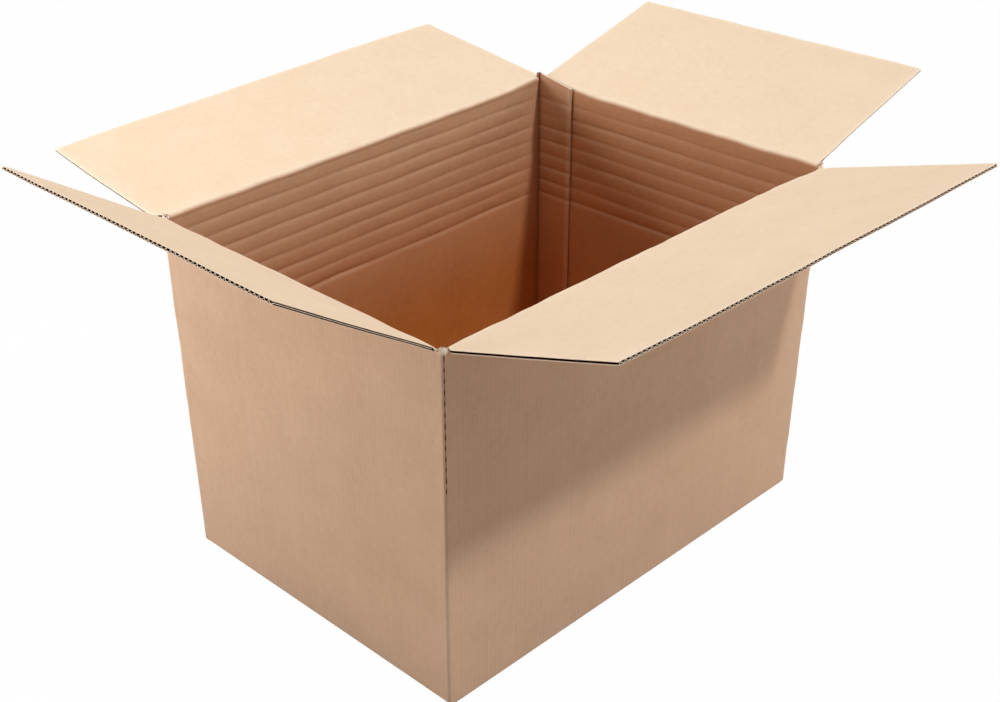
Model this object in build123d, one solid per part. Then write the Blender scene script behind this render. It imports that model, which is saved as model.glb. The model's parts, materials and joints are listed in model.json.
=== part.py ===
from build123d import *

import os
from math import radians, tan

# An open carton that can be cut down to a lower height. One sheet of single-wall corrugated
# board is folded into four walls and a double bottom, and is glued at one upright corner.
# Four top flaps turn on pressed creases. Millimetres, +Z up, origin at the centre of the
# underside, +X along the long walls, -Y towards the front.

# Inside of the set-up box
inside_length = 307.0
inside_width = 220.0
inside_height = 214.0

# Board: two liners with a wavy medium between them
board = 1.8
liner = 0.25
medium = 0.2
flute_pitch = 3.3

# Folds, slots and gaps of the sheet
corner_radius = 1.75
bottom_fold_radius = 1.4
ply_gap = 0.3
bottom_seam = 0.5
top_seam = 1.0
slot_width = 6.8
slot_play = 0.6
cut_overrun = 1.0

# Creases of the top flaps: the board is pressed down to a bead that the flap turns on
pivot_shift = 0.45
bead_radius = 0.27
bead_clearance = 0.25
stack_gap = 0.2
crushed_root = 1.0
fold_in_angle = 90.0
fold_out_angle = 135.0
fold_spare_angle = 2.0

# How far each flap stands above level
front_rise_angle = 18.0
back_rise_angle = 8.5
left_rise_angle = 31.5
right_rise_angle = 16.0

# Scores pressed into the inner faces, one for each lower height
score_count = 8
score_pitch = 9.6
score_width = 2.2
score_depth = 0.4

# Perforated upright corners
slit_pitch = 6.3
slit_length = 2.4
slit_width = 0.6
slit_start = 5.0

# Glue tab inside the back right corner
tab_width = 30.0
tab_drop = 3.0
seam_set_back = 0.5

# Half the foot of one flute's hollow, as a share of the pitch
hollow_base_share = 0.45

# Sizes that follow from these
quarter_turn_angle = 90.0
outer_length = inside_length + 2 * board
outer_width = inside_width + 2 * board
wall_foot = board + ply_gap
floor_top = wall_foot + board
slot_inset = (slot_width - board) / 2
long_flap_width = inside_length - 2 * slot_inset
short_flap_width = inside_width - 2 * slot_inset
flap_reach = inside_width / 2 + board / 2 - pivot_shift - top_seam / 2
short_pivot_height = floor_top + inside_height + board / 2 + pivot_shift
long_pivot_height = short_pivot_height + board - 2 * pivot_shift + stack_gap
post_top = long_pivot_height + board / 2 + pivot_shift
lowest_score = short_pivot_height - score_count * score_pitch

# Each side: turn about Z, middle of its wall from the centre, pivot height, pivot from the
# middle of the board (outwards is positive), flap width, rise of the flap
long_wall = (inside_width + board) / 2
short_wall = (inside_length + board) / 2
sides = {
    "back": (0, long_wall, long_pivot_height, -pivot_shift, long_flap_width, back_rise_angle),
    "left": (1, short_wall, short_pivot_height, pivot_shift, short_flap_width, left_rise_angle),
    "front": (2, long_wall, long_pivot_height, -pivot_shift, long_flap_width, front_rise_angle),
    "right": (3, short_wall, short_pivot_height, pivot_shift, short_flap_width, right_rise_angle),
}


def across(points):
    """Face across a wall: the first value points outwards and the second upwards."""
    return Plane.YZ * make_face(Polyline(*points, close=True))


def along(face, width):
    """Solid of a face across a wall, run along the wall and centred on it."""
    return extrude(face, amount=width / 2, both=True)


def side_frame(turns, middle, height):
    """Place of a side's crease: local Y points outwards and local X runs along the crease."""
    return Rot(0, 0, turns * quarter_turn_angle) * Pos(0, middle, height)


def bevels(pivot):
    """Lengths of the pressed bevels at the inner and the outer face of the board."""
    inner = (board / 2 + pivot) * tan(radians((fold_in_angle + fold_spare_angle) / 2))
    outer = (board / 2 - pivot) * tan(radians((fold_out_angle + fold_spare_angle) / 2))
    return inner, outer


def bead(pivot, radius, width):
    """Round bar on a crease's pivot line."""
    return along(Plane.YZ * Pos(pivot, 0) * Circle(radius), width)


def crease_cut(pivot, width):
    """What is taken off the top of a wall so that it tapers to the bead of its crease."""
    inner, outer = bevels(pivot)
    inner_spread = 1 + cut_overrun / (board / 2 + pivot)
    outer_spread = 1 + cut_overrun / (board / 2 - pivot)
    taper = across([
        (pivot, 0),
        (board / 2 + cut_overrun, -outer * outer_spread),
        (board / 2 + cut_overrun, post_top),
        (-board / 2 - cut_overrun, post_top),
        (-board / 2 - cut_overrun, -inner * inner_spread),
    ])
    return along(taper, width) - bead(pivot, bead_radius, width)


def hollow(centre, side):
    """Outline of one flute's hollow: its foot on the liner at that side, its tip by the other."""
    foot = side * (board / 2 - liner)
    tip = side * (board / 2 - liner - medium)
    base = hollow_base_share * flute_pitch
    return make_face(Polyline((centre - base, foot), (centre + base, foot), (centre, -tip), close=True))


def flutes(width, root):
    """Hollows of the board, open at the flap's outer edge and closed at its pressed root."""
    reach = hollow_base_share * flute_pitch + width / 2 - liner
    count = int(reach / (flute_pitch / 2))
    centres = [step * flute_pitch / 2 for step in range(-count, count + 1)]
    outlines = [hollow(centre, 1 if step % 2 else -1) for step, centre in enumerate(centres, -count)]
    depth = flap_reach + cut_overrun - root
    return [extrude(Pos(0, 0, root) * outline, amount=depth) for outline in outlines]


def flap(side):
    """One top flap, standing out from its crease at its rise above level."""
    turns, middle, height, pivot, width, rise = sides[side]
    inner, outer = bevels(pivot)
    panel = along(across([
        (pivot, 0),
        (board / 2, outer),
        (board / 2, flap_reach),
        (-board / 2, flap_reach),
        (-board / 2, inner),
    ]), width)
    panel -= bead(pivot, bead_radius + bead_clearance, width + cut_overrun)
    panel -= flutes(width, max(inner, outer) + crushed_root)
    opened = panel.rotate(Axis((0, pivot, 0), (1, 0, 0)), rise - quarter_turn_angle)
    return side_frame(turns, middle, height) * opened


def score_cut(height):
    """One score: a ring with a pointed rim that presses into all four inner faces."""
    slope = score_depth / (score_width / 2)
    rise = score_width / 2 + cut_overrun / 2
    rim = Rectangle(inside_length + 2 * score_depth, inside_width + 2 * score_depth)
    low = loft([Rectangle(inside_length + 2 * (score_depth - rise * slope),
                          inside_width + 2 * (score_depth - rise * slope)), Pos(0, 0, rise) * rim])
    return Pos(0, 0, height - rise) * low + Pos(0, 0, height) * mirror(Pos(0, 0, -rise) * low, Plane.XY)


def slit_cut(x_side, y_side, height):
    """One perforation, through the fold of an upright corner."""
    length = board + corner_radius
    slit = Box(length, slit_width, slit_length)
    middle = Pos(x_side * (outer_length - board) / 2, y_side * (outer_width - board) / 2, height)
    return middle * Rot(0, 0, x_side * y_side * quarter_turn_angle / 2) * slit


def walls():
    """Four walls in one ring, rounded at the folds, with their creases, scores and slits."""
    plan = Rectangle(outer_length, outer_width) - Rectangle(inside_length, inside_width)
    ring = Pos(0, 0, wall_foot) * extrude(plan, amount=post_top - wall_foot)
    outer_corners = ring.edges().filter_by(Axis.Z).sort_by(lambda edge: abs(edge.center().X))[-4:]
    glued_corner = outer_corners.sort_by(lambda edge: edge.center().X + edge.center().Y)[-1]
    ring = fillet([edge for edge in outer_corners if edge is not glued_corner], corner_radius)
    foot = ring.faces().sort_by(Axis.Z)[0]
    ring = fillet(foot.outer_wire().edges(), bottom_fold_radius)
    for turns, middle, height, pivot, width, _ in sides.values():
        ring -= side_frame(turns, middle, height) * crease_cut(pivot, width + 2 * slot_play)
    levels = [short_pivot_height - (step + 1) * score_pitch for step in range(score_count)]
    ring -= [score_cut(level) for level in levels]
    slit_count = int((short_pivot_height - slit_start - lowest_score) / slit_pitch) + 2
    for x_side, y_side in ((-1, -1), (-1, 1), (1, -1)):
        ring -= [slit_cut(x_side, y_side, short_pivot_height - slit_start - step * slit_pitch)
                 for step in range(slit_count)]
    return ring - glued_seam()


def glued_seam():
    """Groove at the glued corner: the back wall folds in, and the right wall's cut edge laps it."""
    corner = Pos((inside_length - corner_radius) / 2, (outer_width - corner_radius) / 2)
    fold = corner * Rectangle(corner_radius, corner_radius)
    fold -= Pos(inside_length / 2 - corner_radius, outer_width / 2 - corner_radius) * Circle(corner_radius)
    lap = Pos((inside_length + board) / 2, outer_width / 2) * Rectangle(board, 2 * seam_set_back)
    return extrude(fold + lap, amount=post_top)


def bottom_flaps():
    """Short flaps folded in first and long flaps folded over them, meeting at the middle."""
    fold = bottom_fold_radius
    face = -outer_width / 2
    outline = Polyline((face + fold, 0), (-bottom_seam / 2, 0), (-bottom_seam / 2, board),
                       (face + board, board), (face + board, floor_top), (face, floor_top), (face, fold))
    bend = RadiusArc((face, fold), (face + fold, 0), -fold)
    long_flap = along(Plane.YZ * make_face([outline, bend]), long_flap_width)
    short_reach = flap_reach + board / 2
    short_flap = Pos(short_wall - short_reach / 2, 0, wall_foot + board / 2) * Box(
        short_reach, short_flap_width, board)
    return [long_flap, Rot(0, 0, 2 * quarter_turn_angle) * long_flap,
            short_flap, Rot(0, 0, 2 * quarter_turn_angle) * short_flap]


def glue_tab():
    """Tab of the back wall on the inner face of the right wall, with sloping ends and scores."""
    top = short_pivot_height - board / 2 - pivot_shift - stack_gap
    foot = floor_top + ply_gap
    edge = inside_width / 2
    outline = across([(edge, foot), (edge, top), (edge - tab_width, top - tab_drop),
                      (edge - tab_width, foot + tab_drop)])
    tab = Pos(inside_length / 2, 0, 0) * extrude(outline, amount=-board)
    levels = [short_pivot_height - (step + 1) * score_pitch for step in range(score_count)]
    return tab - [Pos(-board, 0, 0) * score_cut(level) for level in levels]


os.makedirs("parts", exist_ok=True)
export_step(walls() + bottom_flaps() + glue_tab(), "parts/carton_body.step")
for name in sides:
    export_step(flap(name), f"parts/{name}_flap.step")
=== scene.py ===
"""Open carton of brown corrugated board, dressed for a studio picture.

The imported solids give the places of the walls, creases and flaps. Each wall, corner fold and
flap is worked out here as a sheet of board, with its scores, perforations, flutes and cut
edges. Lengths are in millimetres until a mesh is made.
"""

import json
import logging
from dataclasses import dataclass, field
from enum import Enum
from math import cos, pi, radians, sin, tau
from typing import Any

import bpy
import numpy as np
from mathutils import Matrix, Vector


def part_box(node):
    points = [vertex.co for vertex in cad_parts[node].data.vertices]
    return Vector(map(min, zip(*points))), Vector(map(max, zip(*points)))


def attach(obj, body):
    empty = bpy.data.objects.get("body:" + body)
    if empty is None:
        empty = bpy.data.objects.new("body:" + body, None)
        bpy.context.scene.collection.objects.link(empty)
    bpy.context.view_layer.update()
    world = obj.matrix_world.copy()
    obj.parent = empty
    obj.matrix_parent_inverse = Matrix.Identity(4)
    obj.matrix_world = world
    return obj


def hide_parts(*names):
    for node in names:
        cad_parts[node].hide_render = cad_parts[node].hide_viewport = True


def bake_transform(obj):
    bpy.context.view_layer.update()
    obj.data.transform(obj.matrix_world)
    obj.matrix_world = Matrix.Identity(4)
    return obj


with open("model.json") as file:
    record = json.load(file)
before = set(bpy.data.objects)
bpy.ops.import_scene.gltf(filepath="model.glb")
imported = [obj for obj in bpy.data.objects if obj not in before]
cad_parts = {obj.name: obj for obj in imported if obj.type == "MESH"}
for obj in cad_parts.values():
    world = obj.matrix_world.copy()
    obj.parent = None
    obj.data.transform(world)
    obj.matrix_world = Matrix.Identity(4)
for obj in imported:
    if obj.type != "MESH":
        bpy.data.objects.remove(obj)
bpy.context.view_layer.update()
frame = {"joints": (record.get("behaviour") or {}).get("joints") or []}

Array = np.ndarray
Colour = tuple[float, float, float]
Triple = tuple[float, float, float]
MILLIMETRE = 0.001
CREASE_HEIGHT = 219.0
# Painted shade inside the box: the inner paper grows darker and redder from the crease down over
# this depth, for light that dims and reddens as it bounces between the walls.
INSIDE_SHADE_DEPTH = 130.0
LEAN_SHARES = np.array([0.0133, 0.0226, 0.0])
INSIDE_SHADE_SHARES = (0.63, 1.0)
SHEET_SPACING = 400.0
FLAP_ON_SHEET = 250.0
SHARP_ANGLE = radians(38.0)
WHITE = (1.0, 1.0, 1.0, 1.0)
log = logging.getLogger("carton")


class Wall(Enum):
    """The four sides of the carton, each with its quarter turns from the back."""

    BACK = 0
    LEFT = 1
    FRONT = 2
    RIGHT = 3


class Finish(Enum):
    """The papers of the board."""

    OUTER = "outer_liner"
    INNER = "inner_liner"
    EDGE = "cut_edge"
    # The medium is coloured near black: painted shade for the hollows between the liners.
    FLUTE = "shaded_flute_paper"


def clipped(value: Array) -> Array:
    """The value held between 0 and 1."""
    return np.clip(value, 0.0, 1.0)


def smooth(value: Array) -> Array:
    """Smooth step from 0 to 1: 3 t squared less 2 t cubed, with t held between 0 and 1."""
    t = clipped(value)
    return t * t * (3.0 - 2.0 * t)


def bell(value: Array) -> Array:
    """Bell curve: e to the power of minus the value squared."""
    return np.exp(-np.square(value))


def between(first: Array, second: Array, share: Array) -> Array:
    """Values that lie a share of the way from the first to the second."""
    return first + share * (second - first)


def stacked(*parts: Array | float) -> Array:
    """Points from their coordinates, which are spread to one shape."""
    return np.stack(np.broadcast_arrays(*parts), axis=-1)


def drift(first: Array, second: Array, length: float, seed: int) -> Array:
    """Slow uneven field over a sheet.

    Args:
        first: One coordinate on the sheet.
        second: The other coordinate.
        length: About how long one swell is.
        seed: Chooses the swells.

    Returns:
        The sum of nine sine waves whose directions, lengths and phases are drawn from the
        seed, scaled so that it stays between about -1 and 1.
    """
    count, scale = 9, 4.0
    random = np.random.default_rng(seed)
    angles, phases = random.uniform(0.0, tau, (2, count))
    waves = tau / (length * random.uniform(0.6, 1.8, count))
    total = np.zeros(np.broadcast(first, second).shape)
    for angle, wave, phase in zip(angles, waves, phases):
        total += np.sin(wave * (cos(angle) * first + sin(angle) * second) + phase)
    return total / scale


def wander(along: Array, length: float, seed: int) -> Array:
    """Slow uneven field along a line: the drift with its second coordinate at 0."""
    return drift(along, 0.0 * along, length, seed)


def drawn_in(points: Array) -> Array:
    """Walls that lean in towards the foot, where the folded bottom holds them.

    Args:
        points: Points of the upright carton.

    Returns:
        The points with their X and Y made less by a share that grows evenly from the crease
        down to the floor.
    """
    low = clipped(1.0 - points[:, 2:] / CREASE_HEIGHT)
    return points * (1.0 - low * LEAN_SHARES)


def inside_shade_share(height: Array, tint: tuple[float, float]) -> Array:
    """Share of the painted inside shade that paper takes on inside the box.

    Args:
        height: Height above the floor.
        tint: The share at the crease and deep inside.

    Returns:
        The share, which runs evenly from the first value at the crease to the second.
    """
    return between(tint[0], tint[1], clipped((CREASE_HEIGHT - height) / INSIDE_SHADE_DEPTH))


def smooth_least(first: Array, second: float, round_off: float) -> Array:
    """Lesser of two values, rounded where they cross by a sum of exponentials."""
    return -round_off * np.logaddexp(-first / round_off, -second / round_off)


@dataclass(frozen=True)
class Board:
    """Single-wall corrugated board.

    Attributes:
        caliper: Thickness of the board.
        liner: Thickness of each outside paper.
        medium: Thickness of the wavy paper.
        pitch: Length of one flute.
        step: Distance between grid columns.
    """

    caliper: float = 1.8
    liner: float = 0.24
    medium: float = 0.28
    pitch: float = 3.3
    step: float = 2.2

    def columns(self, width: float) -> Array:
        """Grid columns across a width, evenly spread and centred."""
        return np.linspace(-width / 2, width / 2, round(width / self.step) + 1)


@dataclass(frozen=True)
class Side:
    """One side of the carton, with u along the wall, n outwards from mid board and z up.

    Attributes:
        wall: Which side it is.
        middle: Distance of the middle of its board from the centre.
        width: Width of its flap, from slot to slot.
        pivot_out: The crease's pivot line, outwards from mid board.
        pivot_height: Height of that line.
        fold: Turn of the flap outwards from upright at rest, in radians.
    """

    wall: Wall
    middle: float
    width: float
    pivot_out: float
    pivot_height: float
    fold: float

    @property
    def name(self) -> str:
        """Word for this side in the names of its pieces."""
        return self.wall.name.lower()

    def place(self, u: Array, n: Array, z: Array) -> Array:
        """Carries points of this side into the frame.

        Args:
            u: Place along the wall.
            n: Place outwards from mid board.
            z: Height.

        Returns:
            Points whose outward direction is +Y turned by the side's quarter turns about Z.
        """
        turn = self.wall.value * pi / 2
        c, s = round(cos(turn)), round(sin(turn))
        out = self.middle + n
        return stacked(c * u - s * out, s * u + c * out, z)

    def sheet(self, u: Array, v: Array) -> Array:
        """Places on the flat sheet, with the sides laid out one after the other."""
        return stacked(u + SHEET_SPACING * self.wall.value, v)


def read_sides(board: Board) -> dict[Wall, Side]:
    """Reads the four sides from the frame's joints and nodes.

    Args:
        board: The board that the carton is made of.

    Returns:
        Each side by its name.
    """
    low, high = np.array(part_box("carton_body")) / MILLIMETRE
    upright = 90.0
    sides = {}
    for joint in frame["joints"]:
        wall = Wall[joint["child"].removesuffix("_flap").upper()]
        across = 1 if wall in (Wall.BACK, Wall.FRONT) else 0
        pivot = np.abs(joint["pos_m"]) / MILLIMETRE
        flap = np.array(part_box(joint["child"])) / MILLIMETRE
        middle = (high[across] - low[across] - board.caliper) / 2
        sides[wall] = Side(
            wall=wall,
            middle=middle,
            width=flap[1, 1 - across] - flap[0, 1 - across],
            pivot_out=pivot[across] - middle,
            pivot_height=pivot[2],
            fold=radians(joint["range_deg"][1] - upright),
        )
    return sides


class Socket:
    """An output of a shader node that takes part in sums."""

    def __init__(self, graph: "Graph", link: bpy.types.NodeSocket) -> None:
        """Keeps the node graph and the output."""
        self.graph = graph
        self.link = link

    def __add__(self, other: "Socket | float") -> "Socket":
        """Sum."""
        return self.graph.math("ADD", self, other)

    def __sub__(self, other: "Socket | float") -> "Socket":
        """Difference."""
        return self.graph.math("SUBTRACT", self, other)

    def __rsub__(self, other: float) -> "Socket":
        """Difference from a number."""
        return self.graph.math("SUBTRACT", other, self)

    def __mul__(self, other: "Socket | float") -> "Socket":
        """Product."""
        return self.graph.math("MULTIPLY", self, other)

    __radd__ = __add__
    __rmul__ = __mul__

    def held(self) -> "Socket":
        """The value held between 0 and 1."""
        return self.graph.node("ShaderNodeClamp", inputs={"Value": self})


class Graph:
    """Nodes of one material or world."""

    def __init__(self, owner: bpy.types.ID) -> None:
        """Empties the owner's node tree."""
        owner.use_nodes = True
        self.tree = owner.node_tree
        self.tree.nodes.clear()

    def node(self, kind: str, settings: dict[str, Any] | None = None,
             inputs: dict[str | int, Any] | None = None, output: str | int = 0) -> Socket:
        """Adds a node.

        Args:
            kind: The node's type.
            settings: Properties of the node, set first.
            inputs: Values or links of its sockets, by name or place.
            output: The output to hand back.

        Returns:
            That output, or the first one.
        """
        node = self.tree.nodes.new(kind)
        for key, value in (settings or {}).items():
            setattr(node, key, value)
        for key, value in (inputs or {}).items():
            if isinstance(value, Socket):
                self.tree.links.new(value.link, node.inputs[key])
            else:
                node.inputs[key].default_value = value
        return Socket(self, node.outputs[output]) if node.outputs else None

    def math(self, operation: str, first: Socket | float,
             second: Socket | float = 0.0) -> Socket:
        """Value that a Math node makes of one or two terms."""
        return self.node("ShaderNodeMath", {"operation": operation}, {0: first, 1: second})

    def mix(self, share: Socket | float, first: Any, second: Any) -> Socket:
        """Colour between two colours."""
        colours = {0: share, 6: first, 7: second}
        return self.node("ShaderNodeMix", {"data_type": "RGBA"}, colours, 2)

    def stretched(self, vector: Socket, factors: Triple) -> Socket:
        """Vector with each part multiplied."""
        parts = {0: vector, 1: factors}
        return self.node("ShaderNodeVectorMath", {"operation": "MULTIPLY"}, parts)

    def noise(self, where: Socket, scale: float, detail: float) -> Socket:
        """Soft noise between 0 and 1 at a vector, with a scale in waves per millimetre."""
        inputs = {"Vector": where, "Scale": scale, "Detail": detail}
        return self.node("ShaderNodeTexNoise", None, inputs)

    def attribute(self, name: str) -> Socket:
        """Value of a point attribute of the piece."""
        return self.node("ShaderNodeAttribute", {"attribute_name": name}, output="Fac")

    def surface(self, shader: Socket) -> None:
        """Links the finished surface to the material's output."""
        self.node("ShaderNodeOutputMaterial", None, {"Surface": shader})


def paint(red: float, green: float, blue: float) -> tuple[float, float, float, float]:
    """Linear colour from display values of 0 to 255, by the display curve."""
    shares = np.array([red, green, blue]) / 255.0
    linear = np.where(shares <= 0.04045, shares / 12.92, ((shares + 0.055) / 1.055) ** 2.4)
    return (*linear.tolist(), 1.0)


@dataclass(frozen=True)
class Paper:
    """One paper of the board, as a procedural finish on the sheet's own coordinates.

    Attributes:
        finish: Which paper it is.
        light: Colour of its pale parts.
        deep: Colour of its deep parts.
        fleck: Colour of its fibre flecks.
        pressed: Colour of its painted shade, in grooves, slits, inner corners and hollows.
        scuff: Colour of its scuffed parts and of its painted highlights.
        clouding: Share of the slow mottling.
        fibre: Share of the fibre streaks.
        ribs: Share of the uneven stripes along the flutes.
        roughness: Roughness of the surface.
        roughness_spread: How much the roughness changes from place to place.
        sheen: Strength of its gloss.
        relief: Strength of the paper grain's bump.
        relief_height: Height of that bump, in metres.
        fleck_from: Noise value above which a fleck shows.
        fleck_slope: How quickly a fleck grows to its full colour.
        fleck_share: Share of the fleck's colour at most.
        pressed_share: Share of the shade colour where the painted shade is full.
        scuff_share: Share of its pale colour where scuffing or painted highlight is full.
        lining: Pale and deep colours of the painted shade inside the box, darker and redder.
    """

    finish: Finish
    light: Colour
    deep: Colour
    fleck: Colour
    pressed: Colour = (104, 66, 42)
    scuff: Colour = (250, 238, 220)
    clouding: float = 0.5
    fibre: float = 0.3
    ribs: float = 0.12
    roughness: float = 0.85
    roughness_spread: float = 0.16
    sheen: float = 0.22
    relief: float = 0.3
    relief_height: float = 0.00012
    fleck_from: float = 0.66
    fleck_slope: float = 9.0
    fleck_share: float = 0.5
    pressed_share: float = 0.45
    scuff_share: float = 0.4
    lining: tuple[Colour, Colour] | None = None

    def material(self, board: Board) -> bpy.types.Material:
        """Builds the material.

        Args:
            board: Gives the flute's pitch for the tone lines.

        Returns:
            A material whose colour mixes mottling, fibre streaks along the sheet, flecks,
            flute lines, painted shade inside the box, and the painted shade, painted highlights
            and scuffing that its points carry.
        """
        material = bpy.data.materials.new(self.finish.value)
        graph = Graph(material)
        flat = graph.node("ShaderNodeUVMap", {"uv_map": "sheet"})
        sheet = graph.stretched(flat, (1.0 / MILLIMETRE, 1.0 / MILLIMETRE, 0.0))
        along = graph.node("ShaderNodeSeparateXYZ", None, {"Vector": sheet})
        press = graph.attribute("press")
        cloud = graph.noise(sheet, 0.035, 3.0)
        patch = graph.noise(sheet, 0.21, 4.0)
        streak = graph.noise(graph.stretched(sheet, (0.16, 1.5, 0.0)), 1.0, 4.0)
        grain = graph.noise(sheet, 1.7, 3.0)
        speck = graph.noise(graph.stretched(sheet, (0.5, 1.15, 0.0)), 0.8, 2.0)
        ribs = graph.noise(graph.stretched(sheet, (0.42, 0.006, 0.0)), 1.0, 3.0)
        flutes = graph.math("SINE", along * (tau / board.pitch))
        tone = (0.5 + self.clouding * (cloud + patch - 1.0) + self.fibre * (streak - 0.5)
                + self.ribs * (ribs - 0.5 + 0.15 * flutes) + 0.5 * (grain - 0.5))
        colour = graph.mix(tone.held(), paint(*self.deep), paint(*self.light))
        # Painted shade inside the box: a darker, redder copy of the colour, mixed in by the lining
        # attribute.
        if self.lining:
            inside = graph.attribute("lining")
            pale, deep = self.lining
            shaded_colour = graph.mix(tone.held(), paint(*deep), paint(*pale))
            colour = graph.mix(inside, colour, shaded_colour)
        flecks = ((speck - self.fleck_from) * self.fleck_slope).held() * self.fleck_share
        colour = graph.mix(flecks, colour, paint(*self.fleck))
        # Painted shade where the attribute is below 0; scuffing and painted highlights where it is
        # above 0.
        colour = graph.mix((press * -self.pressed_share).held(), colour, paint(*self.pressed))
        colour = graph.mix((press * self.scuff_share).held(), colour, paint(*self.scuff))
        height = 0.5 * grain + 0.3 * streak + 0.2 * flutes
        normal = graph.node("ShaderNodeBump", None, {
            "Strength": self.relief,
            "Distance": self.relief_height,
            "Height": height,
        })
        graph.surface(graph.node("ShaderNodeBsdfPrincipled", None, {
            "Base Color": colour,
            "Roughness": (self.roughness + self.roughness_spread * (patch - 0.5)).held(),
            "Specular IOR Level": self.sheen,
            "Normal": normal,
        }))
        return material


PAPERS = (
    Paper(Finish.OUTER, (213, 181, 154), (194, 160, 133), (164, 126, 100), clouding=0.7,
          ribs=0.35),
    # Its lining colours are painted shade for deep in the box.
    Paper(Finish.INNER, (242, 218, 191), (226, 199, 168), (202, 164, 124), clouding=0.6,
          lining=((198, 124, 60), (170, 98, 42))),
    Paper(Finish.EDGE, (246, 224, 200), (226, 196, 168), (182, 140, 108), sheen=0.1),
    # Near black: painted shade for the hollows of the flutes, not the medium's own colour.
    Paper(Finish.FLUTE, (58, 22, 13), (40, 14, 8), (26, 9, 5), pressed=(60, 26, 14),
          sheen=0.0),
)


@dataclass
class Shell:
    """Closed slabs of board gathered into one mesh.

    Attributes:
        name: Name of the piece.
        points: Corner points of each slab.
        sheet: Their places on the flat sheet.
        press: Painted shade of each point, below 0, or its scuffing and painted highlight, above
            0.
        inside: Share of the painted inside shade, which is 0 on an open flap.
        quads: Faces, as four corner numbers each.
        finishes: The paper of each face, as its place among the finishes.
    """

    name: str
    points: list[Array] = field(default_factory=list)
    sheet: list[Array] = field(default_factory=list)
    press: list[Array] = field(default_factory=list)
    inside: list[Array] = field(default_factory=list)
    quads: list[Array] = field(default_factory=list)
    finishes: list[Array] = field(default_factory=list)

    def slab(self, face: Array, back: Array, sheet: Array,
             papers: tuple[Finish, Finish, Finish],
             face_light_and_wear: Array | float = 0.0, back_light_and_wear: Array | float = 0.0,
             inside: Array | float = INSIDE_SHADE_SHARES[0]) -> None:
        """Adds the closed skin between two grids of one shape.

        Args:
            face: Grid of points, rows by columns by three.
            back: Grid of the points behind them.
            sheet: Places of the grid on the flat sheet.
            papers: Papers of the face, the back and the cut edges.
            face_light_and_wear: Painted shade, below 0, or scuffing and painted highlight, above
                0, of the face's points.
            back_light_and_wear: The same for the back's points.
            inside: Share of the painted inside shade.
        """
        rows, columns = face.shape[:2]
        size = rows * columns
        f = np.arange(size).reshape(rows, columns) + sum(map(len, self.points))
        b = f + size
        skin = [
            np.stack([f[:-1, :-1], f[:-1, 1:], f[1:, 1:], f[1:, :-1]], -1),
            np.stack([b[:-1, :-1], b[1:, :-1], b[1:, 1:], b[:-1, 1:]], -1),
            np.stack([f[:-1, 0], f[1:, 0], b[1:, 0], b[:-1, 0]], -1),
            np.stack([f[1:, -1], f[:-1, -1], b[:-1, -1], b[1:, -1]], -1),
            np.stack([f[0, 1:], f[0, :-1], b[0, :-1], b[0, 1:]], -1),
            np.stack([f[-1, :-1], f[-1, 1:], b[-1, 1:], b[-1, :-1]], -1),
        ]
        row, column = rows // 2, columns // 2
        here = face[row, column]
        normal = np.cross(here - face[row, column - 1], here - face[row - 1, column])
        turned = np.dot(normal, here - back[row, column]) < 0.0
        kinds = [papers[0], papers[1]] + [papers[2]] * 4
        for quads, paper in zip(skin, kinds):
            quads = quads.reshape(-1, 4)
            self.quads.append(quads[:, ::-1] if turned else quads)
            self.finishes.append(np.full(len(quads), list(Finish).index(paper)))
        self.points += [face.reshape(-1, 3), back.reshape(-1, 3)]
        self.sheet += [sheet.reshape(-1, 2)] * 2
        shape = (rows, columns)
        self.press += [np.broadcast_to(press, shape).ravel() for press in (face_light_and_wear, back_light_and_wear)]
        self.inside += [np.broadcast_to(inside, shape).ravel()] * 2

    def make(self, materials: dict[Finish, bpy.types.Material]) -> bpy.types.Object:
        """Makes the piece's object at the origin.

        Args:
            materials: The material of each paper.

        Returns:
            The object, shaded smooth but for its sharp edges.
        """
        quads = np.concatenate(self.quads).astype(np.int32)
        papers, index = np.unique(np.concatenate(self.finishes), return_inverse=True)
        mesh = bpy.data.meshes.new(self.name)
        points = drawn_in(np.concatenate(self.points)) * MILLIMETRE
        mesh.vertices.add(len(points))
        mesh.vertices.foreach_set("co", points.astype(np.float32).ravel())
        mesh.loops.add(quads.size)
        mesh.loops.foreach_set("vertex_index", quads.ravel())
        mesh.polygons.add(len(quads))
        mesh.polygons.foreach_set("loop_start", np.arange(0, quads.size, 4, dtype=np.int32))
        mesh.polygons.foreach_set("material_index", index.astype(np.int32))
        mesh.polygons.foreach_set("use_smooth", np.ones(len(quads), bool))
        places = np.concatenate(self.sheet)[quads.ravel()] * MILLIMETRE
        layer = mesh.uv_layers.new(name="sheet")
        layer.uv.foreach_set("vector", places.astype(np.float32).ravel())
        for name, values in (("press", self.press), ("lining", self.inside)):
            attribute = mesh.attributes.new(name, "FLOAT", "POINT")
            attribute.data.foreach_set("value", np.concatenate(values).astype(np.float32))
        for paper in papers:
            mesh.materials.append(materials[list(Finish)[paper]])
        mesh.update(calc_edges=True)
        mesh.set_sharp_from_angle(angle=SHARP_ANGLE)
        piece = bpy.data.objects.new(self.name, mesh)
        bpy.context.scene.collection.objects.link(piece)
        return piece


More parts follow.
